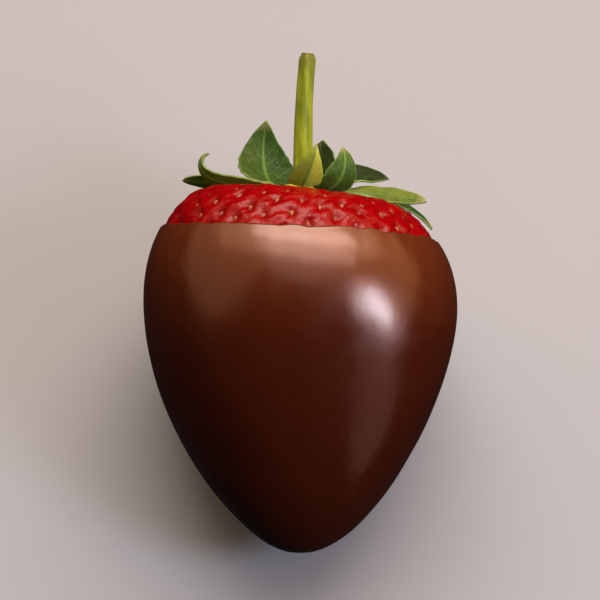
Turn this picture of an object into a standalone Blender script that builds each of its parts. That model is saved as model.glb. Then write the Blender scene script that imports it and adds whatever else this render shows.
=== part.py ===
"""A chocolate coated strawberry, lying on its side on the small flat where the coat set.

The fruit is drawn upright in its own terms: a height along its axis, from the tip (0) to the
calyx, and an angle around that axis. In the fruit's frame the axis is +Y, +X is to the right
and +Z is the side that ends up on top. An empty tilts all of it into the lying pose.
Lengths are in metres.
"""

import math

import bmesh
import bpy
from mathutils import Matrix, Vector

MM = 0.001

# Driving dimensions
FRUIT_LENGTH = 49.5 * MM  # bare fruit, tip to shoulder
FRUIT_RADIUS = 20.9 * MM  # at its widest
COAT_WALL = 1.3 * MM
SEAT_GAP = 0.3 * MM  # clearance between pieces that touch
COAT_GAP = 0.36 * MM  # between the flesh and the coat, over the hollows of both
COAT_EDGE = 43.6 * MM  # height of the coat's edge along the fruit's axis
FLAT_DEPTH = 0.65 * MM  # how much the resting side is flattened
REST_TILT = math.radians(19.0)  # the axis rises by this towards the calyx

# The fruit's outline, as shares of its length and radius
WIDEST_AT = 0.68
TIP_BLUNTNESS = 0.40  # handle of the curve across the tip
SIDE_FULLNESS = 0.28  # handle of the curve down the side
SHOULDER_FULLNESS = 0.20
SHOULDER_RADIUS = 0.50
SHOULDER_ROUNDING = 0.34
DIMPLE_DEPTH = 0.036
CALYX_TILT = math.radians(5.5)  # the shoulder and the calyx lean to the right
TILT_FROM = 0.45  # where on the way from tip to calyx the lean begins
TILT_OVER = 0.40

# Departures from round, as shares of the radius
TOP_SIDE = math.radians(84)  # the middle of the flattened face that lies uppermost
SQUARENESS = 0.018
OVALNESS = 0.012
RIDGES = 0.007

# The coat's edge, around its mean height
EDGE_DIP = 0.42 * MM  # the edge runs higher on the right than on the left
EDGE_WAVE = 0.15 * MM  # of three slow waves around it

# Divisions of the turned surfaces
AROUND = 40
FRUIT_ROWS = 26
COAT_ROWS = 24

# The calyx: a small receptacle in the fruit's dimple, and leaves around it in two whorls
RECEPTACLE_RADIUS = 3.3 * MM
RECEPTACLE_HEIGHT = 3.2 * MM
RECEPTACLE_LIFT = 0.5 * MM  # over the dimple's floor, so that its foot clears the dimple's sides
LEAF_THICKNESS = 0.45 * MM
LEAF_STEPS = 12
LEAF_COLUMNS = 4
SEPAL_HEIGHT = 2.85 * MM  # of the inner whorl's roots, over the dimple
BRACT_HEIGHT = 1.7 * MM  # of the outer whorl's roots

STEM_LENGTH = 18.6 * MM
STEM_RADIUS = 1.35 * MM
STEM_LEAN = -1.1 * MM  # sideways from the root to the cut end
STEM_BOW = 0.3 * MM
STEM_POINTS = 8

# Leaves: angle around the axis (0 right, 90 top side, 180 left), length and width in mm, then the
# rise over the calyx's level at the root and at the tip with how late it changes (1 is evenly),
# sideways sweep, twist, and how far the sides fold up. Angles are in degrees.
SEPALS = {
    "sepal_front": (90, 11.2, 4.3, (-1, 88, 1.6), 24, 0, 0.14),
    "sepal_left": (181, 14.4, 3.8, (-2, 184, 4.9), -12, 44, 0.10),
    "sepal_tall": (226, 14.2, 7.2, (-11, 103, 0.7), -40, -18, 0.19),
    "sepal_rear": (285, 12.7, 7.5, (25, 65, 0.7), 13, -29, 0.35),
    "sepal_rear_right": (334, 10.8, 5.3, (38, -6, 1.2), 2, 54, 0.26),
    "sepal_right": (5, 14.4, 5.6, (7, -14, 1.0), -3, 34, 0.08),
    "sepal_front_right": (53, 10.0, 5.0, (-12, 136, 1.3), 4, -24, 0.08),
}
BRACTS = {
    "bract_front_right": (29, 8.0, 2.2, (11, -8, 1.0), 2, 0, 0.15),
    "bract_far_left": (214, 16.1, 4.2, (10, 1, 1.1), 18, 42, 0.09),
    "bract_rear_left": (258, 12.5, 4.4, (12, -10, 1.0), 0, 8, 0.20),
    "bract_rear": (314, 13.0, 4.6, (12, -12, 1.0), 0, -8, 0.20),
    "bract_low_right": (346, 17.0, 5.0, (13, -44, 1.6), 0, 30, 0.22),
}

COAT_COLOUR = (0.060, 0.018, 0.008, 1.0)
FLESH_COLOUR = (0.520, 0.016, 0.012, 1.0)
LEAF_COLOUR = (0.110, 0.200, 0.030, 1.0)
RECEPTACLE_COLOUR = (0.330, 0.280, 0.030, 1.0)
STEM_COLOUR = (0.270, 0.330, 0.050, 1.0)


def clear_scene():
    for obj in list(bpy.data.objects):
        bpy.data.objects.remove(obj)


def new_collection(name):
    collection = bpy.data.collections.new(name)
    bpy.context.scene.collection.children.link(collection)
    return collection


def new_material(name, colour, roughness):
    material = bpy.data.materials.new(name)
    material.use_nodes = True
    shader = material.node_tree.nodes["Principled BSDF"]
    shader.inputs["Base Color"].default_value = colour
    shader.inputs["Roughness"].default_value = roughness
    return material


def new_object(name, data, material, collection, parent):
    obj = bpy.data.objects.new(name, data)
    data.materials.append(material)
    collection.objects.link(obj)
    obj.parent = parent
    return obj


def bezier(points, t):
    """The point at t, from 0 to 1, on a cubic curve."""
    s = 1 - t
    weights = (s**3, 3 * s * s * t, 3 * s * t * t, t**3)
    return sum((Vector(p) * w for p, w in zip(points, weights)), Vector((0, 0)))


def bezier_slope(points, t):
    s = 1 - t
    weights = (3 * s * s, 6 * s * t, 3 * t * t)
    steps = [Vector(b) - Vector(a) for a, b in zip(points, points[1:])]
    return sum((step * w for step, w in zip(steps, weights)), Vector((0, 0)))


def fruit_outline():
    """The half outline as (height, radius) curves: the side, the shoulder and the dimple."""
    length, radius = FRUIT_LENGTH, FRUIT_RADIUS
    widest = WIDEST_AT * length
    rim = SHOULDER_RADIUS * radius
    floor = length * (1 - DIMPLE_DEPTH)
    side = (
        (0, 0),
        (0, TIP_BLUNTNESS * radius),
        (widest - SIDE_FULLNESS * length, radius),
        (widest, radius),
    )
    shoulder = (
        (widest, radius),
        (widest + SHOULDER_FULLNESS * length, radius),
        (length, rim + SHOULDER_ROUNDING * radius),
        (length, rim),
    )
    dimple = (
        (length, rim),
        (length, rim * 0.62),
        (floor, rim * 0.75),
        (floor, 0),
    )
    return side, shoulder, dimple


OUTLINE = fruit_outline()
OUTLINE_SHARES = (0.64, 0.22, 0.14)  # of the way from tip to calyx, for each curve


def outline_at(way, grow):
    """(height, radius) at a way from 0, the tip, to 1, the calyx, moved out by grow."""
    start = 0.0
    for curve, share in zip(OUTLINE, OUTLINE_SHARES):
        if way <= start + share or curve is OUTLINE[-1]:
            t = min(1.0, (way - start) / share)
            break
        start += share
    point = bezier(curve, t)
    slope = bezier_slope(curve, t).normalized()
    return point + Vector((-slope.y, slope.x)) * grow


def way_at_height(height):
    """How far along the outline the fruit's side and shoulder reach a height."""
    low, high = 0.0, OUTLINE_SHARES[0] + OUTLINE_SHARES[1]
    for _ in range(40):
        middle = (low + high) / 2
        if outline_at(middle, 0).x < height:
            low = middle
        else:
            high = middle
    return low


def ease(t):
    """A smooth rise from 0 to 1."""
    t = max(0.0, min(1.0, t))
    return t * t * (3 - 2 * t)


def lumps(way, angle):
    """The fruit isn't quite round: four soft faces, slightly oval, with ridges that wind a little."""
    side = OUTLINE_SHARES[0] + OUTLINE_SHARES[1]
    body = math.sin(math.pi * min(1.0, way / side)) ** 1.5
    faces = -SQUARENESS * math.cos(4 * (angle - TOP_SIDE))
    oval = OVALNESS * math.cos(2 * (angle - math.radians(20)))
    ridges = RIDGES * math.cos(5 * angle + 6 * way)
    return 1 + body * (faces + oval + ridges)


def body_point(way, angle, grow=0.0):
    """A point of the fruit in its own frame, or of a surface that lies grow outside it."""
    height, radius = outline_at(way, grow)
    radius *= lumps(way, angle)
    across = radius * math.cos(angle)
    height -= across * math.tan(CALYX_TILT) * ease((way - TILT_FROM) / TILT_OVER)
    return Vector((across, height, radius * math.sin(angle)))


def coat_edge_way(angle):
    """How far up the outline the coat reaches."""
    dip = EDGE_DIP * math.cos(angle + math.radians(25))
    wave = EDGE_WAVE * math.sin(3 * angle - 1.3)
    return way_at_height(COAT_EDGE + dip + wave)


def ball(rows):
    """A unit ball's bmesh with its rows stacked along Z, from the tip's pole to the calyx's."""
    mesh = bmesh.new()
    bmesh.ops.create_uvsphere(mesh, u_segments=AROUND, v_segments=rows, radius=1.0)
    return mesh


def way_and_angle(vertex):
    """Where a ball's vertex lies: 0 to 1 from the lower pole, and the angle around."""
    way = math.acos(max(-1.0, min(1.0, -vertex.co.z))) / math.pi
    return way, math.atan2(vertex.co.y, vertex.co.x)


def finish_mesh(mesh, name):
    bmesh.ops.recalc_face_normals(mesh, faces=mesh.faces)
    if mesh.calc_volume(signed=True) < 0:
        bmesh.ops.reverse_faces(mesh, faces=mesh.faces)
    data = bpy.data.meshes.new(name)
    mesh.to_mesh(data)
    mesh.free()
    data.shade_smooth()
    return data


def make_fruit(collection, parent):
    mesh = ball(FRUIT_ROWS)
    for vertex in mesh.verts:
        vertex.co = body_point(*way_and_angle(vertex))
    material = new_material("strawberry_flesh", FLESH_COLOUR, 0.35)
    return new_object("berry", finish_mesh(mesh, "berry"), material, collection, parent)


def make_coat(collection, parent):
    """An open cup around the fruit, from the tip to the wavy edge, thickened outwards."""
    mesh = ball(COAT_ROWS)
    top = max(mesh.verts, key=lambda vertex: vertex.co.z)
    bmesh.ops.delete(mesh, geom=[top], context="VERTS")
    last_row = max(way_and_angle(vertex)[0] for vertex in mesh.verts)
    for vertex in mesh.verts:
        way, angle = way_and_angle(vertex)
        way *= coat_edge_way(angle) / last_row
        vertex.co = body_point(way, angle, COAT_GAP)
    bmesh.ops.recalc_face_normals(mesh, faces=mesh.faces)
    tip = min(mesh.verts, key=lambda vertex: vertex.co.y)
    if tip.normal.y > 0:
        bmesh.ops.reverse_faces(mesh, faces=mesh.faces)
    data = bpy.data.meshes.new("chocolate_coat")
    mesh.to_mesh(data)
    mesh.free()
    data.shade_smooth()
    material = new_material("chocolate", COAT_COLOUR, 0.3)
    coat = new_object("chocolate_coat", data, material, collection, parent)
    wall = coat.modifiers.new("wall", "SOLIDIFY")
    wall.thickness = COAT_WALL
    wall.offset = 1.0
    wall.use_even_offset = True
    return coat


def make_receptacle(collection, parent, seat):
    """The calyx's core, a small turned button. Its outline runs down from the top."""
    radius, height = RECEPTACLE_RADIUS, RECEPTACLE_HEIGHT
    outline = (
        (0.0, height),
        (0.50 * radius, 0.97 * height),
        (0.86 * radius, 0.86 * height),
        (radius, 0.62 * height),
        (0.96 * radius, 0.30 * height),
        (0.80 * radius, 0.0),
        (0.0, 0.0),
    )
    data = bpy.data.meshes.new("receptacle")
    points = [(x, 0, z) for x, z in outline]
    edges = [(i, i + 1) for i in range(len(points) - 1)]
    data.from_pydata(points, edges, [])
    material = new_material("receptacle_green", RECEPTACLE_COLOUR, 0.5)
    receptacle = new_object("receptacle", data, material, collection, parent)
    receptacle.matrix_local = seat @ Matrix.Translation((0, 0, RECEPTACLE_LIFT))
    turn = receptacle.modifiers.new("turn", "SCREW")
    turn.steps = turn.render_steps = 24
    turn.use_merge_vertices = True
    turn.merge_threshold = 0.00001
    turn.use_smooth_shade = True
    return receptacle


def leaf_width(along):
    """Half the width of a leaf, as a share of its greatest: narrow root, full middle, pointed tip."""
    return max(0.07, 0.93 * math.sin(math.pi * along) + 0.30 * (1 - along) ** 2)


def leaf_line(length, rises, sweep):
    """(place, slope, heading) at each step of a leaf's midrib, from its root to its tip."""
    root, tip, lateness = rises
    place = Vector((0, 0, 0))
    line = [(place.copy(), root, 0.0)]
    step = length / LEAF_STEPS
    for i in range(LEAF_STEPS):
        t = (i + 0.5) / LEAF_STEPS
        slope = root + (tip - root) * t**lateness
        heading = sweep * t
        flat = step * math.cos(slope)
        place += Vector((flat * math.cos(heading), flat * math.sin(heading), step * math.sin(slope)))
        line.append((place.copy(), slope, heading))
    return line


def make_leaf(name, spec, height, material, collection, parent, seat):
    """A thin curved blade. It stands in the receptacle's frame, where +Z is the stem's way."""
    around, length, width, (rise_root, rise_tip, lateness), sweep, twist, fold = spec
    rises = (math.radians(rise_root), math.radians(rise_tip), lateness)
    around, sweep, twist = (math.radians(angle) for angle in (around, sweep, twist))
    line = leaf_line(length * MM, rises, sweep)
    mesh = bmesh.new()
    bmesh.ops.create_grid(mesh, x_segments=LEAF_STEPS, y_segments=LEAF_COLUMNS, size=1.0)
    for vertex in mesh.verts:
        along = (vertex.co.x + 1) / 2
        across = vertex.co.y
        place, slope, heading = line[round(along * LEAF_STEPS)]
        half = leaf_width(along) * width * MM / 2
        lift = fold * half * abs(across) ** 1.4
        section = Matrix.Rotation(heading, 3, "Z") @ Matrix.Rotation(-slope, 3, "Y")
        section = section @ Matrix.Rotation(twist * along, 3, "X")
        vertex.co = place + section @ Vector((0, half * across, lift))
    leaf = new_object(name, finish_mesh(mesh, name), material, collection, parent)
    root = RECEPTACLE_RADIUS + SEAT_GAP + LEAF_THICKNESS / 2
    leaf.matrix_local = (
        seat @ Matrix.Rotation(-around, 4, "Z") @ Matrix.Translation((root, 0, height))
    )
    blade = leaf.modifiers.new("blade", "SOLIDIFY")
    blade.thickness = LEAF_THICKNESS
    blade.offset = 0.0
    return leaf


def make_calyx(collection, parent, seat):
    make_receptacle(collection, parent, seat)
    material = new_material("leaf_green", LEAF_COLOUR, 0.5)
    for leaves, height in ((SEPALS, SEPAL_HEIGHT), (BRACTS, BRACT_HEIGHT)):
        for name, spec in leaves.items():
            make_leaf(name, spec, height, material, collection, parent, seat)


def make_stem(collection, parent, seat):
    """A short cut stalk, slightly bowed, a little thicker at its root and at its cut end."""
    data = bpy.data.curves.new("stem", "CURVE")
    data.dimensions = "3D"
    data.bevel_depth = STEM_RADIUS
    data.bevel_resolution = 3
    data.use_fill_caps = True
    spline = data.splines.new("POLY")
    spline.points.add(STEM_POINTS - 1)
    for i, point in enumerate(spline.points):
        t = i / (STEM_POINTS - 1)
        lean = STEM_LEAN * t - STEM_BOW * math.sin(math.pi * t)
        point.co = (lean, 0, STEM_LENGTH * t, 1)
        point.radius = 1 + 0.16 * (1 - t) ** 3 + 0.05 * t**6
    material = new_material("stem_green", STEM_COLOUR, 0.45)
    stem = new_object("stem", data, material, collection, parent)
    root = RECEPTACLE_LIFT + RECEPTACLE_HEIGHT + 1.3 * SEAT_GAP
    stem.matrix_local = seat @ Matrix.Translation((0, 0, root))
    return stem


def world_bounds(objects):
    graph = bpy.context.evaluated_depsgraph_get()
    low, high = Vector((1e9,) * 3), Vector((-1e9,) * 3)
    for obj in objects:
        evaluated = obj.evaluated_get(graph)
        data = evaluated.to_mesh()
        for vertex in data.vertices:
            point = evaluated.matrix_world @ vertex.co
            low = Vector(map(min, low, point))
            high = Vector(map(max, high, point))
        evaluated.to_mesh_clear()
    return low, high


def cut_resting_flat(coat, cutters):
    """Takes the coat off below the table's plane, z = 0."""
    half = 60 * MM
    data = bpy.data.meshes.new("below_table")
    mesh = bmesh.new()
    bmesh.ops.create_cube(mesh, size=2 * half)
    mesh.to_mesh(data)
    mesh.free()
    below = bpy.data.objects.new("below_table", data)
    below.location = (0, 0, -half)
    below.hide_render = True
    below.display_type = "WIRE"
    cutters.objects.link(below)
    cut = coat.modifiers.new("resting_flat", "BOOLEAN")
    cut.operation = "DIFFERENCE"
    cut.solver = "EXACT"
    cut.object = below


def main():
    clear_scene()
    collection = new_collection("chocolate_coated_strawberry")
    cutters = new_collection("cutters")
    lying = bpy.data.objects.new("lying_pose", None)
    lying.rotation_euler = (REST_TILT, 0, 0)
    collection.objects.link(lying)

    # The calyx's frame: +Z runs on along the fruit's axis, +X is to the right
    dimple = FRUIT_LENGTH * (1 - DIMPLE_DEPTH)
    seat = Matrix.Translation((0, dimple, 0)) @ Matrix.Rotation(-CALYX_TILT, 4, "Z")
    seat = seat @ Matrix.Rotation(-math.pi / 2, 4, "X")

    make_fruit(collection, lying)
    coat = make_coat(collection, lying)
    make_calyx(collection, lying, seat)
    make_stem(collection, lying, seat)

    bpy.context.view_layer.update()
    pieces = [obj for obj in collection.objects if obj.type != "EMPTY"]
    low, high = world_bounds(pieces)
    middle = (low + high) / 2
    lying.location = (-middle.x, -middle.y, -low.z - FLAT_DEPTH)
    cut_resting_flat(coat, cutters)
    bpy.context.view_layer.update()


main()
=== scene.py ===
"""The looks of a chocolate coated strawberry that lies on its side.

The fruit's form is drawn in the fruit's own frame, as in the CAD: +Y along the axis from the tip to
the calyx, +X to the right, +Z the side that ends up on top. A place on it is a way, from 0 at the tip
to 1 at the calyx, and an angle around the axis, with 90 degrees on the top side. Lengths are in metres.
"""

import math
import random

import bmesh
import bpy
import numpy as np
from mathutils import Matrix, Vector, noise


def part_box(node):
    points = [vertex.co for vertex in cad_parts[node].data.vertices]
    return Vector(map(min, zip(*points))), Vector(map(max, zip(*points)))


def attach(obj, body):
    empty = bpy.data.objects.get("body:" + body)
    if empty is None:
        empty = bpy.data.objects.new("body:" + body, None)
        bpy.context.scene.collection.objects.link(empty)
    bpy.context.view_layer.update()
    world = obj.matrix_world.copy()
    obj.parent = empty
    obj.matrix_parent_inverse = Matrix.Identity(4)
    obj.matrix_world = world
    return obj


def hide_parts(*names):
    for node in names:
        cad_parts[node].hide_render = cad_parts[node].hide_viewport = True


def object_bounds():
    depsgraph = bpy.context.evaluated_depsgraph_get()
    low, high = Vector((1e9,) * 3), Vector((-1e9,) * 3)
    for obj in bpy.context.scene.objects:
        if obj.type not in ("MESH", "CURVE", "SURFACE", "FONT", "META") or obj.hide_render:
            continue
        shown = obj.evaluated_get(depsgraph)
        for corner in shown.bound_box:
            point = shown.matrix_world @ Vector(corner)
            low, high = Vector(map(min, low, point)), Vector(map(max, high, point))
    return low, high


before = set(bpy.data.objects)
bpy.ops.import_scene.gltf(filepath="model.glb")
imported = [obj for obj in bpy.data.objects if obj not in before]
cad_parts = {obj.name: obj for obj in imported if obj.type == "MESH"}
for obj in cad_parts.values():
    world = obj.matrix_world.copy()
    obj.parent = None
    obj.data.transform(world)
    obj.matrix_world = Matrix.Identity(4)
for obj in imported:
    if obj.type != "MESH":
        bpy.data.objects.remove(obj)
cad_low, cad_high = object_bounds()

MM = 0.001

# The fruit's form, which is the CAD's
FRUIT_LENGTH = 49.5 * MM
FRUIT_RADIUS = 20.9 * MM
COAT_THICKNESS = 1.66 * MM  # from the flesh to the outside
COAT_EDGE = 43.6 * MM
REST_TILT = math.radians(19.0)
WIDEST_AT = 0.68
TIP_BLUNTNESS = 0.40
SIDE_FULLNESS = 0.28
SHOULDER_FULLNESS = 0.20
SHOULDER_RADIUS = 0.50
SHOULDER_ROUNDING = 0.34
DIMPLE_DEPTH = 0.036
CALYX_TILT = math.radians(5.5)
TILT_FROM = 0.45
TILT_OVER = 0.40
TOP_SIDE = math.radians(84)
SQUARENESS = 0.018
OVALNESS = 0.012
RIDGES = 0.007
EDGE_DIP = 0.42 * MM  # by which the coat's edge rises and falls once around the fruit
EDGE_DIP_PHASE = math.radians(25)
EDGE_WAVE = 0.15 * MM  # and three times around it
EDGE_WAVE_PHASE = 1.3
OUTLINE_SHARES = (0.64, 0.22, 0.14)
LIP_REACH = 0.28 * MM  # by which the rounded lip runs on past the edge of the CAD's coat
LIP_ROUNDING = 0.62  # in mm, with LIP_UNEVENNESS more or less
LIP_UNEVENNESS = 0.18
TAPER_LENGTH = 9.5 * MM  # over which the coat gets thinner towards its edge
TAPER_DEPTH = 0.95 * MM
INSIDE_DEPTH = 0.75 * MM  # of the coat's inner face, sunk into the flesh so that no gap shows
PAINTED_SHEEN_LENGTH = 16 * MM  # over which the painted golden sheen of the back light fades out below the coat's edge
NOISE_RING = 20 * MM  # radius of the circle on which noise around the coat's edge is read
PRESSED = 0.25 * MM  # roundness of the edge of the flat that the coat rests on

RECEPTACLE_RADIUS = 3.3 * MM
RECEPTACLE_HEIGHT = 3.2 * MM
RECEPTACLE_LIFT = 0.5 * MM
SEPAL_HEIGHT = 2.85 * MM
BRACT_HEIGHT = 1.7 * MM
LEAF_ROOT = 3.8 * MM  # how far from the axis the leaves start
LEAF_THICKNESS = 0.28 * MM
STEM_LENGTH = 18.6 * MM
STEM_RADIUS = 1.35 * MM
STEM_LEAN = -1.1 * MM
STEM_BOW = 0.3 * MM

# Each leaf: angle around, length and width in mm, (rise at the root, rise at the tip, lateness), sweep,
# twist, fold, and then only for looks: how round the tip is and how much its edge ruffles
LEAVES = {
    "sepal_front": (90, 11.2, 4.3, (-1, 88, 1.6), 24, 0, 0.14, 0.1, 0.2),
    "sepal_left": (181, 14.4, 3.8, (-2, 184, 4.9), -12, 44, 0.10, 0.1, 0.2),
    "sepal_tall": (226, 14.2, 7.2, (-11, 103, 0.7), -40, -18, 0.19, 0.4, 0.3),
    "sepal_rear": (285, 11.6, 6.4, (25, 65, 0.7), 13, -29, 0.35, 0.3, 0.5),
    "sepal_rear_right": (334, 10.8, 5.3, (38, -6, 1.2), 2, 54, 0.26, 0.1, 0.5),
    "sepal_right": (5, 14.2, 5.6, (2, -4, 1.0), -3, 46, 0.10, 0.7, 0.7),
    "sepal_front_right": (53, 10.0, 5.0, (-12, 136, 1.3), 4, -24, 0.08, 0.5, 0.4),
    "bract_front_right": (29, 8.0, 2.2, (11, -8, 1.0), 2, 0, 0.15, 0.1, 0.3),
    "bract_far_left": (214, 16.1, 4.2, (10, 1, 1.1), 18, 42, 0.09, 0.9, 0.4),
    "bract_rear_left": (258, 12.5, 4.4, (12, -10, 1.0), 0, 8, 0.20, 0.1, 0.4),
    "bract_rear": (314, 13.0, 4.6, (12, -12, 1.0), 0, -8, 0.20, 0.1, 0.4),
    "bract_low_right": (346, 17.0, 5.0, (13, -44, 1.6), 0, 30, 0.22, 0.4, 0.4),
}

# The width of a leaf's root as a share of its greatest width, where it isn't the usual one
USUAL_ROOT_WIDTH = 0.30
LEAF_ROOT_WIDTH = {"sepal_tall": 0.72, "sepal_front": 0.45}

# How far each leaf's left and right halves are mixed towards yellow green, and how much painted shade
# darkens the leaf
LEAF_TONES = {
    # sepal_front's yellow is partly its own yellow green and partly painted glow of light shining
    # through it from behind; its left half, which lies in shade, is painted less yellow.
    "sepal_front": (0.55, 1.00, 0.0),
    "sepal_left": (0.15, 0.15, 0.0),
    "sepal_tall": (0.02, 0.05, 0.0),
    "sepal_rear": (0.05, 0.05, 0.75),
    "sepal_rear_right": (0.10, 0.05, 0.85),
    "sepal_right": (0.14, 0.20, 0.0),
    "sepal_front_right": (0.05, 0.05, 0.0),
    "bract_front_right": (0.80, 0.80, 0.0),
    "bract_far_left": (0.10, 0.10, 0.3),
    "bract_rear_left": (0.05, 0.05, 0.5),
    "bract_rear": (0.05, 0.05, 0.5),
    "bract_low_right": (0.00, 0.00, 0.3),
}

# Fineness of the meshes
FLESH_COLUMNS = 420
COAT_COLUMNS = 400
LEAF_STEPS = 64
LEAF_COLUMNS = 28
STEM_ROWS = 90
STEM_COLUMNS = 56

# Seeds and the pits they sit in
SEED_SPACING = 3.3 * MM
SEED_PACKING = 0.87  # area of skin for each seed, as a share of the spacing squared
SEED_FREE_RADIUS = 5.2 * MM  # no seeds this close to the axis, under the calyx
SEED_COVERED = 1.0 * MM  # seeds further than this below the coat's edge are left out
SEED_LENGTH = 0.98 * MM
PIT_RADIUS = 0.75 * MM
PIT_DEPTH = 0.32 * MM
SWELL_HEIGHT = 0.26 * MM  # of the flesh between the pits
CREASE_DEPTH = 0.20 * MM
CREASE_SLANT = math.radians(38)
RELIEF_MARGIN = 0.09  # of the way, by which the fine skin starts below the coat's edge
RELIEF_FADE = 0.04

CAMERA_ELEVATION = math.radians(67)
CAMERA_DISTANCE = 0.543
VIEW_HEIGHT = 0.086  # of what the picture shows, at the strawberry
FLOOR_HALF = 1.5  # half the floor's side


# ---- The fruit's form ----


def smooth_step(t):
    """From 0 to 1 with a soft start and end."""
    t = np.clip(t, 0.0, 1.0)
    return t * t * (3 - 2 * t)


def outline_curves():
    """The half outline as (height, radius) curves: the side, the shoulder and the dimple."""
    length, radius = FRUIT_LENGTH, FRUIT_RADIUS
    widest = WIDEST_AT * length
    rim = SHOULDER_RADIUS * radius
    floor = length * (1 - DIMPLE_DEPTH)
    side = (
        (0, 0),
        (0, TIP_BLUNTNESS * radius),
        (widest - SIDE_FULLNESS * length, radius),
        (widest, radius),
    )
    shoulder = (
        (widest, radius),
        (widest + SHOULDER_FULLNESS * length, radius),
        (length, rim + SHOULDER_ROUNDING * radius),
        (length, rim),
    )
    dimple = ((length, rim), (length, rim * 0.62), (floor, rim * 0.75), (floor, 0))
    return [np.array(curve, float) for curve in (side, shoulder, dimple)]


CURVES = outline_curves()


def outline(way, grow=0.0):
    """Heights and radii along the outline, moved out by grow."""
    way = np.asarray(way, float)
    grow = np.broadcast_to(np.asarray(grow, float), way.shape)
    height, radius = np.zeros_like(way), np.zeros_like(way)
    start = 0.0
    for curve, share in zip(CURVES, OUTLINE_SHARES):
        here = (way >= start) & (way <= start + share + 1e-9)
        t = np.clip((way[here] - start) / share, 0, 1)[:, None]
        s = 1 - t
        point = s**3 * curve[0] + 3 * s * s * t * curve[1] + 3 * s * t * t * curve[2] + t**3 * curve[3]
        steps = np.diff(curve, axis=0)
        slope = s * s * steps[0] + 2 * s * t * steps[1] + t * t * steps[2]
        slope /= np.linalg.norm(slope, axis=1, keepdims=True)
        height[here] = point[:, 0] - slope[:, 1] * grow[here]
        radius[here] = point[:, 1] + slope[:, 0] * grow[here]
        start += share
    return height, radius


def lumps(way, angle):
    """What the radius is multiplied by: a little squarish, oval and ridged."""
    side = OUTLINE_SHARES[0] + OUTLINE_SHARES[1]
    body = np.sin(np.pi * np.minimum(1.0, way / side)) ** 1.5
    faces = -SQUARENESS * np.cos(4 * (angle - TOP_SIDE))
    oval = OVALNESS * np.cos(2 * (angle - math.radians(20)))
    ridges = RIDGES * np.cos(5 * angle + 6 * way)
    return 1 + body * (faces + oval + ridges)


def body(way, angle, grow=0.0):
    """Points of the fruit in its own frame, or of a surface that lies grow outside it."""
    way, angle = np.broadcast_arrays(np.asarray(way, float), np.asarray(angle, float))
    height, radius = outline(way, grow)
    radius = radius * lumps(way, angle)
    across = radius * np.cos(angle)
    height = height - across * math.tan(CALYX_TILT) * smooth_step((way - TILT_FROM) / TILT_OVER)
    return np.stack((across, height, radius * np.sin(angle)), axis=-1)


def body_normal(way, angle, grow=0.0):
    """Outward directions of length 1 at points of the fruit."""
    step = 1e-3
    above, below = np.minimum(way + step, 0.999), np.maximum(way - step, 0.001)
    up = body(above, angle, grow) - body(below, angle, grow)
    around = body(way, angle + step, grow) - body(way, angle - step, grow)
    normal = np.cross(up, around)
    return normal / np.maximum(np.linalg.norm(normal, axis=-1, keepdims=True), 1e-12)


WAYS = np.linspace(0, 1, 4001)
HEIGHTS, RADII = outline(WAYS)
TRAVEL = np.concatenate(([0], np.cumsum(np.hypot(np.diff(HEIGHTS), np.diff(RADII)))))
SIDE_END = OUTLINE_SHARES[0] + OUTLINE_SHARES[1]


def way_at_height(height):
    """How far along the outline the fruit's side and shoulder reach a height."""
    side = WAYS <= SIDE_END
    return np.interp(height, HEIGHTS[side], WAYS[side])


def travel_at(way):
    """Length along the outline from the tip."""
    return np.interp(way, WAYS, TRAVEL)


def way_at_travel(travel):
    """The way that lies a length along the outline from the tip."""
    return np.interp(travel, TRAVEL, WAYS)


def lying_pose():
    """From the fruit's frame to the row's: tilted, and then put where the CAD's berry is."""
    tilt = Matrix.Rotation(REST_TILT, 4, "X")
    way, angle = np.meshgrid(np.linspace(0, 1, 400), np.linspace(0, 2 * np.pi, 400))
    points = body(way, angle).reshape(-1, 3) @ np.array(tilt.to_3x3()).T
    low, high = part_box("berry")
    middle = (points.min(0) + points.max(0)) / 2
    return Matrix.Translation((low + high) / 2 - Vector(middle)) @ tilt


LYING = lying_pose()


def place(points, matrix=LYING):
    """An array of points, taken through a matrix."""
    matrix = np.array(matrix)
    return points @ matrix[:3, :3].T + matrix[:3, 3]


def calyx_seat():
    """The calyx's frame: +Z runs on along the fruit's axis, +X is to the right."""
    dimple = FRUIT_LENGTH * (1 - DIMPLE_DEPTH)
    lean = Matrix.Rotation(-CALYX_TILT, 4, "Z") @ Matrix.Rotation(-math.pi / 2, 4, "X")
    return LYING @ Matrix.Translation((0, dimple, 0)) @ lean


SEAT = calyx_seat()


def rough(points, size, seed=0.0):
    """Smooth noise from -1 to 1 at points, with features of about the given size."""
    offset = Vector((seed, seed * 1.7, -seed))
    flat = points.reshape(-1, 3) / size
    values = [noise.noise(Vector(point) + offset) for point in flat]
    return np.array(values).reshape(points.shape[:-1])


# ---- Meshes ----


def new_piece(name, data, replaced):
    """A piece on the one body, in the place of the CAD nodes that it replaces."""
    piece = bpy.data.objects.new(name, data)
    bpy.context.scene.collection.objects.link(piece)
    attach(piece, "root")
    if replaced:
        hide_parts(*replaced)
    return piece


def skin_mesh(name, rows, start, end):
    """A closed mesh through rings of points, with a single point before the first and after the last."""
    count, columns = rows.shape[:2]
    points = rows.reshape(-1, 3)
    first = np.arange(columns)
    following = np.roll(first, -1)
    faces = []
    for row in range(count - 1):
        low, high = row * columns, (row + 1) * columns
        quads = np.stack((low + first, low + following, high + following, high + first), axis=1)
        faces.extend(quads.tolist())
    last = (count - 1) * columns
    pole = np.full(columns, count * columns)
    faces.extend(np.stack((following, first, pole), axis=1).tolist())
    faces.extend(np.stack((last + first, last + following, pole + 1), axis=1).tolist())
    points = np.concatenate((points, [start, end]))
    return solid_mesh(name, points, faces)


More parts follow.
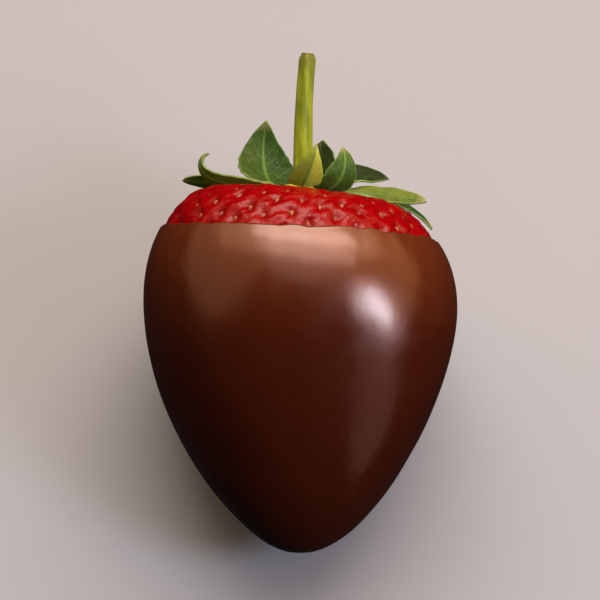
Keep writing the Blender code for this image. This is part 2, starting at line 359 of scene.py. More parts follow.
def solid_mesh(name, points, faces):
    """A smooth closed mesh whose faces look outwards."""
    data = bpy.data.meshes.new(name)
    data.from_pydata(points.tolist(), [], faces)
    form = bmesh.new()
    form.from_mesh(data)
    if form.calc_volume(signed=True) < 0:
        bmesh.ops.reverse_faces(form, faces=form.faces[:])
    form.to_mesh(data)
    form.free()
    data.shade_smooth()
    return data


def point_values(data, name, values):
    """A number at each point of a mesh, for its material to read."""
    attribute = data.attributes.new(name, "FLOAT", "POINT")
    padded = np.zeros(len(data.vertices))
    padded[: len(values)] = values
    attribute.data.foreach_set("value", padded)


# ---- Seeds, flesh and coat ----


def coat_edge(angle):
    """The way at which the coat ends, without its small scallops."""
    dip = EDGE_DIP * np.cos(angle + EDGE_DIP_PHASE)
    wave = EDGE_WAVE * np.sin(3 * angle - EDGE_WAVE_PHASE)
    return way_at_height(COAT_EDGE + dip + wave)


def seed_places():
    """(way, angle) of each seed that the coat leaves bare: an even spiral over the fruit's skin."""
    draw = random.Random(5)
    ring = 2 * np.pi * RADII
    area = np.concatenate(([0], np.cumsum((ring[1:] + ring[:-1]) / 2 * np.diff(TRAVEL))))
    count = int(area[-1] / (SEED_SPACING**2 * SEED_PACKING))
    golden = math.pi * (3 - math.sqrt(5))
    places = []
    for i in range(count):
        way = float(np.interp((i + 0.5) / count * area[-1], area, WAYS))
        way += draw.uniform(-0.5, 0.5) * MM / TRAVEL[-1]
        angle = (i * golden + draw.uniform(-0.02, 0.02)) % (2 * math.pi)
        radius = float(np.interp(way, WAYS, RADII))
        bare = travel_at(way) - travel_at(float(coat_edge(np.array(angle))))
        if bare > -SEED_COVERED and radius > SEED_FREE_RADIUS:
            places.append((way, angle))
    return np.array(places)


SEEDS = seed_places()


def skin_relief(points):
    """(height, pit) of the bare flesh: pits around the seeds, and flesh that swells between them."""
    centres = body(SEEDS[:, 0], SEEDS[:, 1])
    nearest = np.full(points.shape[:-1], 1.0)
    for centre in centres:
        gap = points - centre
        gap = gap * np.array((1.15, 0.85, 1.15))
        nearest = np.minimum(nearest, np.linalg.norm(gap, axis=-1))
    pit = np.exp(-((nearest / PIT_RADIUS) ** 2))
    swell = 1 - np.exp(-((nearest / (1.8 * PIT_RADIUS)) ** 2))
    height = SWELL_HEIGHT * swell - PIT_DEPTH * pit
    return height, pit


def creases(way, angle):
    """Shallow furrows between the seeds, which run slantwise around the shoulder."""
    around, up = -angle * 15 * MM, travel_at(way)
    along = around * math.cos(CREASE_SLANT) + up * math.sin(CREASE_SLANT)
    across = up * math.cos(CREASE_SLANT) - around * math.sin(CREASE_SLANT)
    return rough(np.stack((along / 3.2, across, np.zeros_like(up)), axis=-1), 0.75 * MM, 3.0)


def make_flesh(material):
    """The berry: coarse under the coat, fine where it is bare."""
    angles = np.linspace(0, 2 * np.pi, FLESH_COLUMNS, endpoint=False)
    covered = float(way_at_height(COAT_EDGE)) - RELIEF_MARGIN
    ways = np.concatenate(
        (np.linspace(0.02, covered, 22, endpoint=False), np.linspace(covered, 0.995, 130))
    )
    way, angle = np.meshgrid(ways, angles, indexing="ij")
    base = body(way, angle)
    height, pit = skin_relief(base)
    height += CREASE_DEPTH * creases(way, angle) + 0.16 * MM * rough(base, 6.0 * MM, 8.0)
    fade = smooth_step((way - covered) / RELIEF_FADE)
    points = base + body_normal(way, angle) * (height * fade)[..., None]
    tip, pole = body(np.array((0.0, 1.0)), np.array((0.0, 0.0)))
    data = skin_mesh("strawberry_flesh", place(points), place(tip), place(pole))
    point_values(data, "pit", (pit * fade).ravel())
    point_values(data, "way", way.ravel())
    data.materials.append(material)
    return new_piece("strawberry_flesh", data, ["berry"])


def seed_form():
    """A strawberry seed: a flattened teardrop, pointed towards +Y. Rings from end to end."""
    rings, sides = 8, 10
    t = np.linspace(0, 1, rings + 2)[1:-1]
    half_width = np.sin(np.pi * t**0.8) ** 0.75 * (1 - 0.35 * t)
    around = np.linspace(0, 2 * np.pi, sides, endpoint=False)
    x = half_width[:, None] * np.cos(around) * 0.36
    z = half_width[:, None] * np.sin(around) * 0.24
    y = np.broadcast_to((t - 0.5)[:, None], x.shape)
    return np.stack((x, y, z), axis=-1) * SEED_LENGTH


def make_seeds(material):
    """All bare seeds as one mesh, each lying in its pit with its point towards the berry's tip."""
    draw = random.Random(11)
    form = seed_form()
    rings, sides = form.shape[:2]
    ends = np.array(((0, -0.5, 0), (0, 0.5, 0))) * SEED_LENGTH
    points, faces, tones = [], [], []
    for way, angle in SEEDS:
        normal = Vector(body_normal(np.array(way), np.array(angle)))
        here, tipwards = (body(np.array(w), np.array(angle)) for w in (way, way - 0.004))
        toward_tip = Vector(tipwards - here)
        along = (toward_tip - normal * toward_tip.dot(normal)).normalized()
        turn = Matrix((along.cross(normal), along, normal)).transposed()
        turn = turn @ Matrix.Rotation(draw.uniform(-0.35, 0.35), 3, "Z")
        turn = turn @ Matrix.Rotation(draw.uniform(-0.12, 0.12), 3, "X")
        size = draw.uniform(0.85, 1.12)
        centre = here + np.array(normal) * (0.06 * MM - PIT_DEPTH)
        base = len(points)
        local = np.concatenate((form.reshape(-1, 3), ends)) * size
        points.extend((local @ np.array(turn).T + centre).tolist())
        tones.extend([draw.random()] * len(local))
        for ring in range(rings - 1):
            for side in range(sides):
                a = base + ring * sides + side
                b = base + ring * sides + (side + 1) % sides
                faces.append((a, b, b + sides, a + sides))
        first, last = base + rings * sides, base + rings * sides + 1
        for side in range(sides):
            a, b = base + side, base + (side + 1) % sides
            faces.append((b, a, first))
            faces.append((a + (rings - 1) * sides, b + (rings - 1) * sides, last))
    data = solid_mesh("seeds", place(np.array(points)), faces)
    point_values(data, "tone", tones)
    data.materials.append(material)
    return new_piece("seeds", data, [])


def noise_ring(angle):
    """Points on a circle, for noise that joins up all around the fruit."""
    return np.stack((np.cos(angle), np.sin(angle), np.zeros_like(angle)), axis=-1) * NOISE_RING


def scallops(angle):
    """Length by which the coat's edge stands back, around seeds that it meets and by small waves."""
    ring = noise_ring(angle)
    back = 0.16 * MM * rough(ring, 2.2 * MM, 2.0) + 0.25 * MM * rough(ring, 7.0 * MM, 5.0)
    edge_travel = travel_at(coat_edge(angle))
    for way, seed_angle in SEEDS:
        apart = (angle - seed_angle + np.pi) % (2 * np.pi) - np.pi
        sideways = apart * np.interp(way, WAYS, RADII)
        above = travel_at(way) - edge_travel
        close = np.exp(-((above / (1.3 * MM)) ** 2))
        back = back + 0.28 * MM * close * np.exp(-((sideways / (0.9 * MM)) ** 2))
    return back


def coat_unevenness(points):
    """How the set chocolate departs from even: broad waves, drawn out along the axis."""
    stretched = points * np.array((1.0, 0.45, 1.0))
    broad = 0.22 * MM * rough(stretched, 11 * MM, 1.0)
    middling = 0.07 * MM * rough(stretched, 4.5 * MM, 7.0)
    return broad + middling


def make_coat(material):
    """The set chocolate: its outside from the tip up, a rounded lip, and its inside back down."""
    angles = np.linspace(0, 2 * np.pi, COAT_COLUMNS, endpoint=False)
    edge = travel_at(coat_edge(angles)) + LIP_REACH - scallops(angles)
    lip = (LIP_ROUNDING + LIP_UNEVENNESS * rough(noise_ring(angles), 9 * MM, 12.0)) * MM
    thickness = COAT_THICKNESS * np.ones_like(angles)

    ways, grows = [], []
    for share in np.linspace(0.012, 1, 150) ** 0.9:
        travel = (edge - lip) * share
        ways.append(way_at_travel(travel))
        into_taper = np.clip((travel - edge + TAPER_LENGTH) / TAPER_LENGTH, 0, 1)
        grows.append(thickness - TAPER_DEPTH * into_taper**2)
    at_lip = grows[-1]
    for bend in np.linspace(0, np.pi / 2, 13)[1:]:
        ways.append(way_at_travel(edge - lip + lip * math.sin(bend) ** 0.9))
        grows.append(at_lip * math.cos(bend) ** 0.8 - 0.25 * MM * math.sin(bend) ** 4)
    for back in (0.25, 0.8, 2.0, 4.0):
        ways.append(way_at_travel(edge - back * MM))
        grows.append(np.full_like(angles, -INSIDE_DEPTH))
    for share in np.linspace(0.85, 0.05, 14):
        ways.append(way_at_travel((edge - 4.0 * MM) * share))
        grows.append(np.full_like(angles, -INSIDE_DEPTH))
    way, grow = np.array(ways), np.array(grows)
    angle = np.broadcast_to(angles, way.shape)
    points = body(way, angle, grow)
    outside = np.clip(grow / COAT_THICKNESS, 0, 1)
    near_tip = smooth_step(way / 0.10)
    uneven = coat_unevenness(points) * outside * (0.35 + 0.65 * near_tip)
    points = points + body_normal(way, angle) * uneven[..., None]
    tips = body(np.zeros(2), np.zeros(2), np.array((COAT_THICKNESS, -INSIDE_DEPTH)))
    placed = place(points)
    placed[..., 2] = (placed[..., 2] + np.hypot(placed[..., 2], PRESSED)) / 2
    data = skin_mesh("chocolate_coat_set", placed, place(tips[0]), place(tips[1]))
    # Distance below the coat's edge, which the material reads for its painted golden sheen.
    point_values(data, "below_edge", np.maximum(0, edge - travel_at(way)).ravel())
    data.materials.append(material)
    return new_piece("chocolate_coat_set", data, ["chocolate_coat"])


# ---- Calyx and stem ----


def leaf_width(along, roundness, root_width):
    """Half the width of a leaf, as a share of its greatest, from its root to its tip."""
    power = np.where(along > 0.5, 1 - 0.5 * roundness, 1.0)
    swell = np.sin(np.pi * np.clip(along, 0, 1) ** 0.84) ** power
    return np.maximum(0.02, 0.93 * swell + root_width * (1 - along) ** 2)


def leaf_midrib(length, rises, sweep):
    """Places, slopes and headings along a midrib that bends from its root to its tip."""
    root, tip, lateness = rises
    t = (np.arange(LEAF_STEPS) + 0.5) / LEAF_STEPS
    slope = root + (tip - root) * t**lateness
    heading = sweep * t
    step = length / LEAF_STEPS
    moves = np.stack(
        (
            step * np.cos(slope) * np.cos(heading),
            step * np.cos(slope) * np.sin(heading),
            step * np.sin(slope),
        ),
        axis=1,
    )
    places = np.concatenate((np.zeros((1, 3)), np.cumsum(moves, axis=0)))
    return places, np.concatenate((slope[:1], slope)), np.concatenate((heading[:1], heading))


def make_leaf(name, spec, seed, upper, under, edge):
    """A thin leaf with a grooved midrib, raised veins and a ruffled edge, in the CAD leaf's place."""
    around, length, width, (rise_root, rise_tip, lateness), sweep, twist, fold, roundness, ruffle = spec
    around, sweep, twist = (math.radians(value) for value in (around, sweep, twist))
    rises = (math.radians(rise_root), math.radians(rise_tip), lateness)
    places, slopes, headings = leaf_midrib(length * MM, rises, sweep)
    along = np.linspace(0, 1, LEAF_STEPS + 1)
    across = np.linspace(-1, 1, LEAF_COLUMNS + 1)
    line = np.stack((along * 9, np.full_like(along, seed * 3.1), np.zeros_like(along)), axis=1)
    left = 1 + 0.10 * rough(line, 1.6) + 0.05 * rough(line, 0.55)
    right = 1 + 0.10 * rough(line, 1.6, 4.0) + 0.05 * rough(line, 0.55, 9.0)
    root_width = LEAF_ROOT_WIDTH.get(name, USUAL_ROOT_WIDTH)
    half = leaf_width(along, roundness, root_width) * width * MM / 2
    points = np.zeros((LEAF_STEPS + 1, LEAF_COLUMNS + 1, 3))
    for i, t in enumerate(along):
        sides = np.where(across < 0, left[i], right[i])
        side = half[i] * across * sides
        spread = np.abs(across)
        lift = fold * half[i] * spread**1.4
        groove = -0.10 * MM * np.exp(-((side / (0.22 * MM)) ** 2)) * (1 - 0.6 * t)
        pillow = 0.05 * MM * np.sin(2 * np.pi * (t * 7 - spread * 0.9)) * spread * (1 - t)
        wave = np.array([noise.noise(Vector((t * 4.2, s * 0.9, seed * 5.3))) for s in across])
        curl = ruffle * 0.9 * MM * wave * spread**1.5 * math.sin(math.pi * min(1.0, t * 1.1)) ** 0.7
        section = Matrix.Rotation(headings[i], 3, "Z") @ Matrix.Rotation(-slopes[i], 3, "Y")
        section = np.array(section @ Matrix.Rotation(twist * t, 3, "X"))
        local = np.stack((np.zeros_like(side), side, lift + groove + pillow + curl), axis=1)
        points[i] = places[i] + local @ section.T

    height = SEPAL_HEIGHT if name.startswith("sepal") else BRACT_HEIGHT
    stand = SEAT @ Matrix.Rotation(-around, 4, "Z") @ Matrix.Translation((LEAF_ROOT, 0, height))
    data = bpy.data.meshes.new("leaf_" + name)
    columns = LEAF_COLUMNS + 1
    faces = []
    for i in range(LEAF_STEPS):
        for j in range(LEAF_COLUMNS):
            a = i * columns + j
            faces.append((a, a + columns, a + columns + 1, a + 1))
    data.from_pydata(place(points, stand).reshape(-1, 3).tolist(), [], faces)
    layer = data.uv_layers.new(name="leaf")
    corner_points = np.zeros(len(data.loops), dtype=int)
    data.loops.foreach_get("vertex_index", corner_points)
    uv = np.stack((along[corner_points // columns], (across[corner_points % columns] + 1) / 2), axis=1)
    layer.data.foreach_set("uv", uv.ravel())
    data.shade_smooth()
    yellow_left, yellow_right, painted_shade = LEAF_TONES[name]
    yellow = np.interp(across, (-0.25, 0.25), (yellow_left, yellow_right))
    point_values(data, "yellow", np.broadcast_to(yellow, points.shape[:2]).ravel())
    # Painted shade for leaves that lie in shade, which the material mixes in as a dark green.
    point_values(data, "painted_shade", np.full(points.shape[0] * points.shape[1], painted_shade))
    for material in (upper, under, edge):
        data.materials.append(material)
    leaf = new_piece("leaf_" + name, data, [name])
    blade = leaf.modifiers.new("blade", "SOLIDIFY")
    blade.thickness = LEAF_THICKNESS
    blade.offset = 0.0
    blade.use_even_offset = False
    blade.material_offset = 1
    blade.material_offset_rim = 2
    return leaf


def make_receptacle(material):
    """The calyx's core: a lumpy button."""
    radius, height = RECEPTACLE_RADIUS, RECEPTACLE_HEIGHT
    angles = np.linspace(0, 2 * np.pi, 72, endpoint=False)
    rise = np.linspace(0.04, 0.96, 30)
    swell = (1 - np.abs(2 * rise - 0.9) ** 2.6 * 0.55) * np.minimum(1, ((1 - rise) * 6) ** 0.5)
    ring = np.stack((np.cos(angles), np.sin(angles)), axis=-1)
    points = np.zeros((len(rise), len(angles), 3))
    points[..., :2] = swell[:, None, None] * radius * ring
    points[..., 2] = rise[:, None] * height
    lumpy = 1 + 0.05 * np.cos(7 * angles) * np.sin(np.pi * rise)[:, None]
    points[..., :2] *= lumpy[..., None]
    points += 0.12 * MM * rough(points, 0.9 * MM, 4.0)[..., None]
    stand = SEAT @ Matrix.Translation((0, 0, RECEPTACLE_LIFT))
    ends = place(np.array(((0, 0, 0), (0, 0, height))), stand)
    data = skin_mesh("calyx_core", place(points, stand), ends[0], ends[1])
    data.materials.append(material)
    return new_piece("calyx_core", data, ["receptacle"])


def make_stem(material):
    """A cut stalk: faintly ribbed, thicker at its root, with a flat dry cut and a slight burr."""
    rows = STEM_ROWS
    angles = np.linspace(0, 2 * np.pi, STEM_COLUMNS, endpoint=False)
    t = np.linspace(0, 1, rows)
    rounded_end = 0.22 * smooth_step((t - 0.93) / 0.07) ** 2
    radius = STEM_RADIUS * (1 + 0.14 * (1 - t) ** 3 - 0.12 * t - rounded_end)
    ribs = 1 + 0.035 * np.cos(5 * angles + 1.5 * t[:, None]) + 0.02 * np.cos(3 * angles)
    radius = radius[:, None] * ribs
    lean = STEM_LEAN * t - STEM_BOW * np.sin(np.pi * t)
    points = np.zeros((rows, STEM_COLUMNS, 3))
    points[..., 0] = lean[:, None] + radius * np.cos(angles)
    points[..., 1] = radius * np.sin(angles)
    points[..., 2] = (STEM_LENGTH * t)[:, None]
    points += 0.05 * MM * rough(points * np.array((1, 1, 0.25)), 0.8 * MM, 6.0)[..., None]
    middle = np.array((lean[-1], 0, STEM_LENGTH))
    cut = []
    for share, drop in ((0.97, 0.0), (0.90, 0.05), (0.70, 0.16), (0.45, 0.20), (0.20, 0.17)):
        ring = middle + (points[-1] - middle) * share
        ring[:, 2] = STEM_LENGTH - drop * MM
        cut.append(ring)
    bevel = points[-1].copy()
    points[-1] = middle + (bevel - middle) * 1.01
    points = np.concatenate((points, np.array(cut)))
    stand = SEAT @ Matrix.Translation((0, 0, RECEPTACLE_LIFT + RECEPTACLE_HEIGHT + 0.1 * MM))
    ends = place(np.array(((0, 0, 0), middle - np.array((0, 0, 0.15 * MM)))), stand)
    data = skin_mesh("cut_stem", place(points, stand), ends[0], ends[1])
    along = np.broadcast_to(np.concatenate((t, np.ones(len(cut))))[:, None], points.shape[:2])
    face = np.zeros(points.shape[:2])
    face[rows:] = 1
    point_values(data, "along", along.ravel())
    point_values(data, "cut", face.ravel())
    data.materials.append(material)
    return new_piece("cut_stem", data, ["stem"])


# ---- Materials ----


class Shader:
    """A material's nodes. Inputs are numbers, colours or another node's output socket."""

    def __init__(self, name, **sockets):
        self.material = bpy.data.materials.new(name)
        self.material.use_nodes = True
        self.nodes = self.material.node_tree.nodes
        self.principled = self.nodes["Principled BSDF"]
        for socket, value in sockets.items():
            self.set(self.principled.inputs[socket.replace("_", " ")], value)

    def set(self, socket, value):
        if isinstance(value, bpy.types.NodeSocket):
            self.material.node_tree.links.new(value, socket)
        elif isinstance(value, tuple) and len(value) == 3 and len(socket.default_value) == 4:
            socket.default_value = (*value, 1.0)
        else:
            socket.default_value = value

    def node(self, kind, inputs, **settings):
        made = self.nodes.new("ShaderNode" + kind)
        for key, value in settings.items():
            setattr(made, key, value)
        for key, value in inputs.items():
            self.set(made.inputs[key], value)
        return made

    def place(self):
        return self.node("TexCoord", {}).outputs["Object"]

    def uv(self):
        return self.node("TexCoord", {}).outputs["UV"]

    def value(self, name):
        return self.node("Attribute", {}, attribute_name=name).outputs["Fac"]

    def noise(self, size, detail=3.0, stretch=(1, 1, 1)):
        """Noise from 0 to 1, with features of a size in metres."""
        mapped = self.node("Mapping", {"Vector": self.place(), "Scale": stretch})
        made = self.node(
            "TexNoise", {"Vector": mapped.outputs[0], "Scale": 1 / size, "Detail": detail}
        )
        return made.outputs["Fac"]

    def math(self, operation, first, second=0.0, clamp=False):
        made = self.node("Math", {0: first, 1: second}, operation=operation, use_clamp=clamp)
        return made.outputs[0]

    def span(self, value, low, high, to_low=0.0, to_high=1.0):
        """A value's range, made into another one."""
        inputs = {"Value": value, "From Min": low, "From Max": high, "To Min": to_low, "To Max": to_high}
        return self.node("MapRange", inputs).outputs["Result"]

    def mix(self, share, first, second):
        made = self.nodes.new("ShaderNodeMix")
        made.data_type = "RGBA"
        self.set(made.inputs[0], share)
        self.set(made.inputs[6], first)
        self.set(made.inputs[7], second)
        return made.outputs[2]

    def colour(self, value):
        self.set(self.principled.inputs["Base Color"], value)

    def roughness(self, value):
        self.set(self.principled.inputs["Roughness"], value)

    def bump(self, *layers):
        """Layers are (height from 0 to 1, depth in metres)."""
        normal = None
        for height, depth in layers:
            inputs = {"Height": height, "Strength": 1.0, "Distance": depth}
            if normal is not None:
                inputs["Normal"] = normal
            normal = self.node("Bump", inputs).outputs["Normal"]
        self.set(self.principled.inputs["Normal"], normal)


def chocolate_material():
    """Set milk chocolate: glossy, a little uneven in tone, with a painted golden sheen of the back light
    that fades out below its edge.
    """
    shader = Shader(
        "set_milk_chocolate",
        Specular_IOR_Level=1.0,
        Specular_Tint=(1.0, 0.74, 0.64, 1.0),
        Subsurface_Weight=0.06,
        Subsurface_Radius=(0.9, 0.45, 0.25),
        Subsurface_Scale=0.002,
    )
    broad = shader.noise(14 * MM, 1.0)
    fine = shader.noise(1.6 * MM, 2.0)
    tone = shader.mix(broad, (0.042, 0.0060, 0.0012), (0.056, 0.0084, 0.0018))
    tone = shader.mix(shader.span(fine, 0.3, 0.9, 0.0, 0.12), tone, (0.074, 0.013, 0.003))
    # Painted golden sheen: the base colour is paler and more golden near the coat's edge, standing in
    # for light from behind.
    below = shader.math("DIVIDE", shader.value("below_edge"), PAINTED_SHEEN_LENGTH)
    painted_sheen = shader.math("SUBTRACT", 1.0, below, True)
    tone = shader.mix(shader.math("MULTIPLY", painted_sheen, 0.55), tone, (0.135, 0.030, 0.006))
    shader.colour(tone)
    shader.roughness(shader.span(shader.noise(5 * MM, 3.0), 0.3, 0.7, 0.20, 0.27))
    flow = shader.noise(3.2 * MM, 2.0, (1, 0.35, 1))
    grain = shader.noise(0.6 * MM, 2.0)
    shader.bump((flow, 0.05 * MM), (grain, 0.005 * MM))
    return shader.material


def flesh_material():
    """Strawberry skin: red, with painted shade darkening the pits, a little paler towards the calyx,
    moist.
    """
    shader = Shader(
        "strawberry_skin",
        Specular_IOR_Level=0.20,
        Subsurface_Weight=0.12,
        Subsurface_Radius=(1.0, 0.25, 0.12),
        Subsurface_Scale=0.0018,
    )
    pit, way = shader.value("pit"), shader.value("way")
    mottle = shader.noise(2.5 * MM, 4.0)
    red = shader.mix(mottle, (0.18, 0.0002, 0.0012), (0.29, 0.0008, 0.0022))
    pale = shader.mix(mottle, (0.36, 0.012, 0.006), (0.48, 0.06, 0.020))
    ripeness = shader.span(shader.math("ADD", way, shader.math("MULTIPLY", mottle, 0.04)), 0.90, 0.96)
    tone = shader.mix(ripeness, red, pale)
    # Painted shade: the pits are darkened in the base colour.
    tone = shader.mix(shader.math("MULTIPLY", pit, 0.8, True), tone, (0.14, 0.003, 0.004))
    shader.colour(tone)
    shader.roughness(shader.span(shader.noise(0.9 * MM, 3.0), 0.3, 0.7, 0.08, 0.12))
    shader.bump((shader.noise(1.3 * MM, 2.0), 0.22 * MM), (shader.noise(0.35 * MM, 3.0), 0.02 * MM))
    return shader.material


def seed_material():
    """Ripe seeds, from reddish to straw."""
    shader = Shader("seed_shell", Specular_IOR_Level=0.5)
    tone = shader.mix(shader.value("tone"), (0.22, 0.018, 0.005), (0.36, 0.10, 0.018))
    tone = shader.mix(shader.span(shader.noise(0.4 * MM), 0.5, 0.75), tone, (0.28, 0.06, 0.012))
    shader.colour(tone)
    shader.roughness(shader.span(shader.noise(0.5 * MM), 0.3, 0.7, 0.28, 0.45))
    shader.bump((shader.noise(0.2 * MM, 2.0), 0.02 * MM))
    return shader.material


def leaf_material(name, dark, light, rib, rib_width):
    """A leaf's side: mottled green with a pale midrib, branching veins and a pale margin."""
    shader = Shader(
        name,
        Specular_IOR_Level=0.14,
        Subsurface_Weight=0.5,
        Subsurface_Radius=(0.5, 0.9, 0.15),
        Subsurface_Scale=0.0014,
        Sheen_Weight=0.06,
        Sheen_Roughness=0.4,
    )
    split = shader.node("SeparateXYZ", {"Vector": shader.uv()})
    along, across = split.outputs["X"], split.outputs["Y"]
    from_midrib = shader.math("ABSOLUTE", shader.math("SUBTRACT", across, 0.5))
    spread = shader.math("MULTIPLY", from_midrib, 2.0)
    drift = shader.math("MULTIPLY", shader.noise(1.6 * MM), 0.6)
    lead = shader.math("MULTIPLY", spread, 2.2)
    slant = shader.math("SUBTRACT", shader.math("MULTIPLY", along, 9.0), lead)
    phase = shader.math("FRACT", shader.math("ADD", slant, drift))
    offset = shader.math("ABSOLUTE", shader.math("SUBTRACT", phase, 0.5))
    vein = shader.span(offset, 0.0, 0.13, 1.0, 0.0)
    vein = shader.math("MULTIPLY", vein, shader.span(spread, 0.1, 0.95, 0.8, 0.1))
    midrib = shader.span(spread, rib_width, rib_width * 2.6, 0.8, 0.0)
    # The pale margin comes and goes along the leaf's edge.
    patchy_margin = shader.span(shader.noise(1.3 * MM, 2.0), 0.40, 0.62, 0.10, 0.75)
    margin = shader.math("MULTIPLY", shader.span(spread, 0.90, 1.0), patchy_margin)
    mottle = shader.noise(1.1 * MM, 4.0)
    tone = shader.mix(shader.span(mottle, 0.3, 0.7), dark, light)
    yellow = shader.mix(mottle, (0.38, 0.46, 0.018), (0.72, 0.80, 0.14))
    # Yellow share: the leaves' own yellow green, and on sepal_front partly painted glow of light through
    # the leaf.
    tone = shader.mix(shader.value("yellow"), tone, yellow)
    bloom = shader.span(shader.noise(0.45 * MM, 3.0), 0.50, 0.72, 0.0, 0.40)
    tone = shader.mix(bloom, tone, (0.11, 0.22, 0.08))
    tone = shader.mix(shader.math("MULTIPLY", vein, 0.35), tone, rib)
    tone = shader.mix(shader.math("MAXIMUM", midrib, margin), tone, rib)
    tone = shader.mix(shader.span(along, 0.88, 1.0, 0.0, 0.7), tone, (0.36, 0.36, 0.17))
    # Painted shade: leaves that lie in shade are darkened in the base colour.
    tone = shader.mix(shader.value("painted_shade"), tone, (0.006, 0.014, 0.001))
    shader.colour(tone)
    shader.roughness(shader.span(mottle, 0.3, 0.7, 0.42, 0.58))
    relief = shader.math("MAXIMUM", vein, midrib)
    shader.bump((relief, 0.06 * MM), (shader.noise(0.3 * MM, 3.0), 0.03 * MM))
    return shader.material


def leaf_edge_material():
    """The thin pale rim between a leaf's two sides."""
    shader = Shader("leaf_edge", Specular_IOR_Level=0.3)
    shader.colour(shader.mix(shader.noise(0.8 * MM), (0.08, 0.17, 0.025), (0.26, 0.36, 0.11)))
    shader.roughness(shader.span(shader.noise(0.6 * MM), 0.3, 0.7, 0.4, 0.55))
    return shader.material


def receptacle_material():
    """The calyx's core: yellow green with paler spots."""
    shader = Shader(
        "calyx_core_green",
        Specular_IOR_Level=0.4,
        Subsurface_Weight=0.1,
        Subsurface_Scale=0.001,
    )
    tone = shader.mix(shader.noise(1.5 * MM), (0.40, 0.32, 0.02), (0.30, 0.36, 0.05))
    shader.colour(shader.mix(shader.span(shader.noise(0.5 * MM), 0.55, 0.75), tone, (0.55, 0.52, 0.16)))
    shader.roughness(shader.span(shader.noise(0.6 * MM), 0.3, 0.7, 0.4, 0.55))
    shader.bump((shader.noise(0.35 * MM, 3.0), 0.06 * MM))
    return shader.material


def stem_material():
    """The stalk: yellow green with long pale streaks, browner by the cut, which is dry and fibrous."""
    shader = Shader(
        "stem_skin",
        Specular_IOR_Level=0.28,
        Subsurface_Weight=0.15,
        Subsurface_Radius=(0.6, 0.8, 0.2),
        Subsurface_Scale=0.001,
        Sheen_Weight=0.15,
    )
    along, cut = shader.value("along"), shader.value("cut")
    streak = shader.noise(0.7 * MM, 3.0, (1, 0.12, 0.4))
    tone = shader.mix(shader.span(streak, 0.35, 0.65), (0.13, 0.19, 0.001), (0.24, 0.30, 0.006))
    brown = shader.mix(streak, (0.065, 0.065, 0.005), (0.13, 0.12, 0.018))
    tone = shader.mix(shader.span(along, 0.84, 1.0, 0.0, 0.85), tone, brown)
    fibre = shader.mix(shader.noise(0.3 * MM, 2.0), (0.24, 0.18, 0.05), (0.48, 0.44, 0.20))
    shader.colour(shader.mix(cut, tone, fibre))
    shader.roughness(shader.span(streak, 0.3, 0.7, 0.36, 0.5))
    shader.bump((streak, 0.06 * MM), (shader.noise(0.25 * MM, 3.0), 0.02 * MM))
    return shader.material


# ---- Stage ----


def make_floor():
    """A plain floor, which the glossy coat neither mirrors nor gets light from."""
    shader = Shader("floor_paint", Specular_IOR_Level=0.2)
    shader.colour(shader.mix(shader.noise(0.6, 2.0), (0.31, 0.345, 0.38), (0.33, 0.365, 0.40)))
    shader.roughness(shader.span(shader.noise(0.1), 0.3, 0.7, 0.6, 0.7))
    data = bpy.data.meshes.new("floor")
    half = FLOOR_HALF
    corners = [(-half, -half, 0), (half, -half, 0), (half, half, 0), (-half, half, 0)]
    data.from_pydata(corners, [], [(0, 1, 2, 3)])
    data.materials.append(shader.material)
    floor = bpy.data.objects.new("floor", data)
    bpy.context.scene.collection.objects.link(floor)
    floor.visible_glossy = False
    floor.visible_diffuse = False


def aim(obj, place_from, place_to):
    """Puts a camera or light in one place and turns it towards another."""
    obj.location = place_from
    obj.rotation_mode = "QUATERNION"
    obj.rotation_quaternion = (Vector(place_to) - Vector(place_from)).to_track_quat("-Z", "Y")


def area_light(name, target, azimuth, elevation, distance, size, radiance, colour):
    """A soft oval of light. Azimuth 0 is in front, 90 to the right and 180 behind."""
    data = bpy.data.lights.new(name, "AREA")
    data.shape = "ELLIPSE"
    data.size, data.size_y = size
    data.energy = radiance * math.pi**2 / 4 * size[0] * size[1]
    data.color = colour
    light = bpy.data.objects.new(name, data)
    bpy.context.scene.collection.objects.link(light)
    turn, rise = math.radians(azimuth), math.radians(elevation)
    way = Vector((math.sin(turn) * math.cos(rise), -math.cos(turn) * math.cos(rise), math.sin(rise)))
    aim(light, target + way * distance, target)


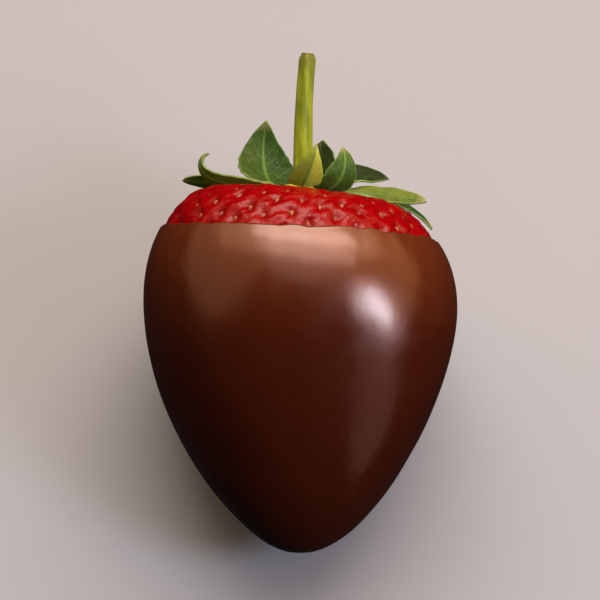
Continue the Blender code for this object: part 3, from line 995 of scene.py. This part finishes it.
def make_lights(target):
    """Radiances are what a reflection of each light shows; the power follows from its size."""
    area_light("back_window", target, 172, 50, 1.0, (1.15, 0.46), 5.6, (1.0, 0.86, 0.80))
    area_light("back_window_upper", target, 166, 68, 1.0, (1.05, 0.50), 3.1, (1.0, 0.82, 0.74))
    area_light("overhead", target, 160, 84, 1.0, (0.85, 0.50), 0.95, (1.0, 0.74, 0.62))
    area_light("back_glow", target, 178, 44, 1.2, (2.8, 1.4), 1.2, (1.0, 0.68, 0.44))
    area_light("back_left", target, -121, 34, 1.0, (1.7, 1.3), 0.55, (1.0, 0.64, 0.38))
    area_light("back_right", target, 119, 34, 1.0, (1.6, 1.3), 1.1, (1.0, 0.52, 0.24))
    area_light("right_softbox", target, 71, 39, 0.8, (0.21, 0.27), 17.0, (0.62, 0.78, 1.0))
    area_light("right_softbox_halo", target, 71, 39, 0.79, (0.36, 0.66), 2.5, (1.0, 0.72, 0.76))
    area_light("right_panel", target, 45, 10, 1.0, (0.5, 1.0), 0.38, (1.0, 0.66, 0.58))
    world = bpy.data.worlds.new("studio")
    bpy.context.scene.world = world
    world.use_nodes = True
    sky = world.node_tree.nodes["Background"]
    sky.inputs["Color"].default_value = (0.95, 0.97, 1.0, 1.0)
    sky.inputs["Strength"].default_value = 0.012


def make_camera(target):
    """The photo's viewing angle, centred on the strawberry."""
    data = bpy.data.cameras.new("camera")
    data.sensor_width = 36.0
    data.lens = data.sensor_width * CAMERA_DISTANCE / VIEW_HEIGHT
    data.clip_start = 0.01
    camera = bpy.data.objects.new("camera", data)
    bpy.context.scene.collection.objects.link(camera)
    back = Vector((0, -math.cos(CAMERA_ELEVATION), math.sin(CAMERA_ELEVATION)))
    aim(camera, target + back * CAMERA_DISTANCE, target)
    bpy.context.scene.camera = camera


def main():
    make_flesh(flesh_material())
    make_seeds(seed_material())
    make_coat(chocolate_material())
    make_receptacle(receptacle_material())
    make_stem(stem_material())
    upper = leaf_material(
        "leaf_upper",
        dark=(0.005, 0.030, 0.001),
        light=(0.019, 0.080, 0.006),
        rib=(0.12, 0.26, 0.050),
        rib_width=0.035,
    )
    under = leaf_material(
        "leaf_under",
        dark=(0.014, 0.056, 0.004),
        light=(0.040, 0.12, 0.012),
        rib=(0.16, 0.29, 0.060),
        rib_width=0.05,
    )
    edge = leaf_edge_material()
    for seed, (name, spec) in enumerate(LEAVES.items()):
        make_leaf(name, spec, seed + 1, upper, under, edge)

    middle = (cad_low + cad_high) / 2
    make_floor()
    make_lights(middle)
    make_camera(middle)
    bpy.context.scene.view_settings.view_transform = "Standard"


main()
